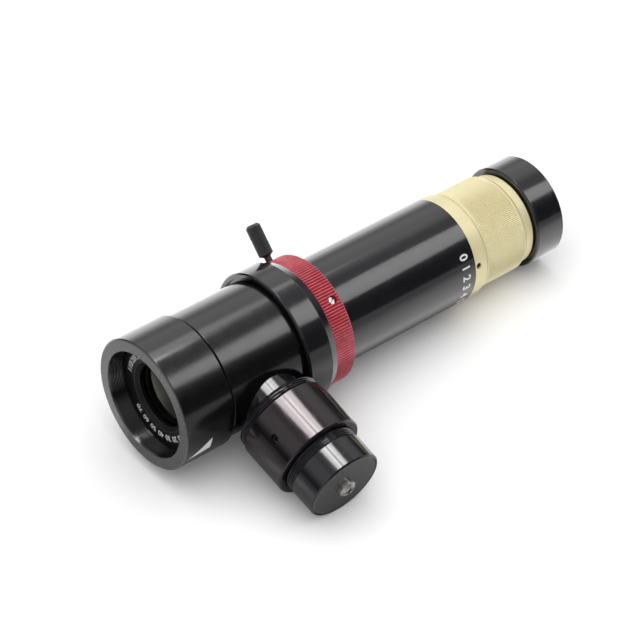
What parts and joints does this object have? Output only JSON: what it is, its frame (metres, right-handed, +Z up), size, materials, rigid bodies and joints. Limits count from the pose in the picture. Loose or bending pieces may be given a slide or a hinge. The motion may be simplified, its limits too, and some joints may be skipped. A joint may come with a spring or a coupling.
{
  "type": "video measuring lens with side illumination port",
  "caption": "Tube lens with a side light port, red iris ring with its lock screw, pale gold focus grip and capped camera thread, lying on its side.",
  "frame": {"origin": "on the table under the middle of the lens as it lies on its collar, rear cap and port plug", "axes": "+X horizontally along the optical axis from the front ring to the camera end, +Y away from the port, +Z up"},
  "size_m": [0.1484, 0.0764, 0.044],
  "materials": {
    "black_satin": "satin black anodised",
    "black_gloss": "bright-dipped black anodised",
    "retainer_black": "matt black anodised with engraved white figures",
    "knurl_black": "black anodised knurl",
    "sleeve_black": "faded brown-black anodised",
    "plug_face": "fine-turned black anodised face",
    "red_anodised": "red anodised straight knurl",
    "champagne_anodised": "pale gold anodised",
    "steel": "nickel-plated",
    "black_screw": "black oxide",
    "blade_steel": "blued spring steel",
    "brass": "plain",
    "condenser_metal": "matt black anodised",
    "coated_glass": "coated",
    "splitter_glass": "half-silvered"
  },
  "bodies": {
    "barrel": {"front_ring": "black_satin", "objective_retainer": "retainer_black", "objective_cell": "black_satin", "objective_crown": "coated_glass", "objective_flint": "coated_glass", "main_body": "black_satin", "splitter_frame": "black_satin", "splitter_plate": "splitter_glass", "collar": "black_gloss", "taper_ring": "black_gloss", "iris_housing": "black_satin", "iris_base_plate": "black_satin", "rear_tube": "black_gloss", "relay_cell": "black_satin", "relay_front_lens": "coated_glass", "relay_rear_lens": "coated_glass", "relay_spacer": "black_satin", "relay_retainer": "black_satin", "mount_flange": "champagne_anodised", "mount_set_screw_1": "black_screw", "mount_set_screw_2": "black_screw", "mount_set_screw_3": "black_screw", "focus_key_pin": "steel", "port_neck": "black_gloss"},
    "iris": {"iris_ring": "red_anodised", "iris_drive_screw": "steel", "iris_actuator": "black_satin"},
    "lock_pad": {"lock_pad": "brass"},
    "lock_screw": {"lock_screw": "knurl_black"},
    "focus_grip": {"focus_grip": "champagne_anodised"},
    "camera_nose": {"camera_nose": "champagne_anodised"},
    "rear_cap": {"rear_cap": "black_gloss"},
    "port_sleeve": {"port_sleeve": "sleeve_black", "sleeve_set_screw": "black_screw"},
    "condenser": {"condenser_cell": "condenser_metal", "condenser_lens": "coated_glass"},
    "plug_slug": {"plug_slug": "plug_face", "plug_clip": "steel", "plug_screw": "steel"},
    "plug_ring": {"plug_ring": "black_gloss"},
    "iris_blade_1": {"iris_blade_1": "blade_steel"},
    "iris_blade_2": {"iris_blade_2": "blade_steel"},
    "iris_blade_3": {"iris_blade_3": "blade_steel"},
    "iris_blade_4": {"iris_blade_4": "blade_steel"},
    "iris_blade_5": {"iris_blade_5": "blade_steel"},
    "iris_blade_6": {"iris_blade_6": "blade_steel"},
    "iris_blade_7": {"iris_blade_7": "blade_steel"},
    "iris_blade_8": {"iris_blade_8": "blade_steel"}
  },
  "joints": [
    {"name": "iris_turn", "type": "hinge", "parent": "barrel", "child": "iris", "pos_m": [-0.01616, 0.01441, 0.02093], "axis": [0.9985, 0, -0.0555], "range_deg": [0, 60]},
    {"name": "lock_travel", "type": "slide", "parent": "iris", "child": "lock_pad", "axis": [-0.0383, -0.7232, -0.6895], "range_m": [0, 0.00046]},
    {"name": "lock_turn", "type": "hinge", "parent": "lock_pad", "child": "lock_screw", "pos_m": [-0.0159, 0.02888, 0.03475], "axis": [-0.0383, -0.7232, -0.6895], "range_deg": [0, 360]},
    {"name": "focus_turn", "type": "hinge", "parent": "barrel", "child": "focus_grip", "pos_m": [0.05073, 0.01441, 0.01721], "axis": [0.9985, 0, -0.0555], "range_deg": [0, 270]},
    {"name": "nose_travel", "type": "slide", "parent": "barrel", "child": "camera_nose", "axis": [0.9985, 0, -0.0555], "range_m": [0, 0.00181]},
    {"name": "cap_pull", "type": "slide", "parent": "camera_nose", "child": "rear_cap", "axis": [0.9985, 0, -0.0555], "range_m": [0, 0.02]},
    {"name": "sleeve_turn", "type": "hinge", "parent": "barrel", "child": "port_sleeve", "pos_m": [-0.04211, -0.01684, 0.0155], "axis": [-0.0119, -0.9768, -0.214], "range_deg": [0, 120]},
    {"name": "condenser_travel", "type": "slide", "parent": "barrel", "child": "condenser", "axis": [-0.0119, -0.9768, -0.214], "range_m": [0, 0.00151]},
    {"name": "plug_travel", "type": "slide", "parent": "port_sleeve", "child": "plug_slug", "axis": [-0.0119, -0.9768, -0.214], "range_m": [0, 0.00226]},
    {"name": "plug_turn", "type": "hinge", "parent": "plug_slug", "child": "plug_ring", "pos_m": [-0.04226, -0.02954, 0.01272], "axis": [-0.0119, -0.9768, -0.214], "range_deg": [0, 1080]},
    {"name": "iris_blade_1_swing", "type": "hinge", "parent": "barrel", "child": "iris_blade_1", "pos_m": [-0.01871, 0.02672, 0.02378], "axis": [0.9985, 0, -0.0555], "range_deg": [0, 28.5]},
    {"name": "iris_blade_2_swing", "type": "hinge", "parent": "barrel", "child": "iris_blade_2", "pos_m": [-0.01827, 0.02121, 0.03167], "axis": [0.9985, 0, -0.0555], "range_deg": [0, 28.5]},
    {"name": "iris_blade_3_swing", "type": "hinge", "parent": "barrel", "child": "iris_blade_3", "pos_m": [-0.01818, 0.01171, 0.03337], "axis": [0.9985, 0, -0.0555], "range_deg": [0, 28.5]},
    {"name": "iris_blade_4_swing", "type": "hinge", "parent": "barrel", "child": "iris_blade_4", "pos_m": [-0.01848, 0.0038, 0.02786], "axis": [0.9985, 0, -0.0555], "range_deg": [0, 28.5]},
    {"name": "iris_blade_5_swing", "type": "hinge", "parent": "barrel", "child": "iris_blade_5", "pos_m": [-0.01901, 0.00211, 0.01838], "axis": [0.9985, 0, -0.0555], "range_deg": [0, 28.5]},
    {"name": "iris_blade_6_swing", "type": "hinge", "parent": "barrel", "child": "iris_blade_6", "pos_m": [-0.01945, 0.00762, 0.01048], "axis": [0.9985, 0, -0.0555], "range_deg": [0, 28.5]},
    {"name": "iris_blade_7_swing", "type": "hinge", "parent": "barrel", "child": "iris_blade_7", "pos_m": [-0.01954, 0.01712, 0.00879], "axis": [0.9985, 0, -0.0555], "range_deg": [0, 28.5]},
    {"name": "iris_blade_8_swing", "type": "hinge", "parent": "barrel", "child": "iris_blade_8", "pos_m": [-0.01924, 0.02503, 0.0143], "axis": [0.9985, 0, -0.0555], "range_deg": [0, 28.5]}
  ],
  "couplings": [
    {"joint": "lock_travel", "follows": "lock_turn", "m_per_rad": 0.00007162},
    {"joint": "nose_travel", "follows": "focus_turn", "m_per_rad": 0.00038197},
    {"joint": "condenser_travel", "follows": "sleeve_turn", "m_per_rad": 0.0007162},
    {"joint": "plug_travel", "follows": "plug_turn", "m_per_rad": 0.00011937},
    {"joint": "iris_blade_1_swing", "follows": "iris_turn", "ratio": 0.46667},
    {"joint": "iris_blade_2_swing", "follows": "iris_turn", "ratio": 0.46667},
    {"joint": "iris_blade_3_swing", "follows": "iris_turn", "ratio": 0.46667},
    {"joint": "iris_blade_4_swing", "follows": "iris_turn", "ratio": 0.46667},
    {"joint": "iris_blade_5_swing", "follows": "iris_turn", "ratio": 0.46667},
    {"joint": "iris_blade_6_swing", "follows": "iris_turn", "ratio": 0.46667},
    {"joint": "iris_blade_7_swing", "follows": "iris_turn", "ratio": 0.46667},
    {"joint": "iris_blade_8_swing", "follows": "iris_turn", "ratio": 0.46667}
  ]
}
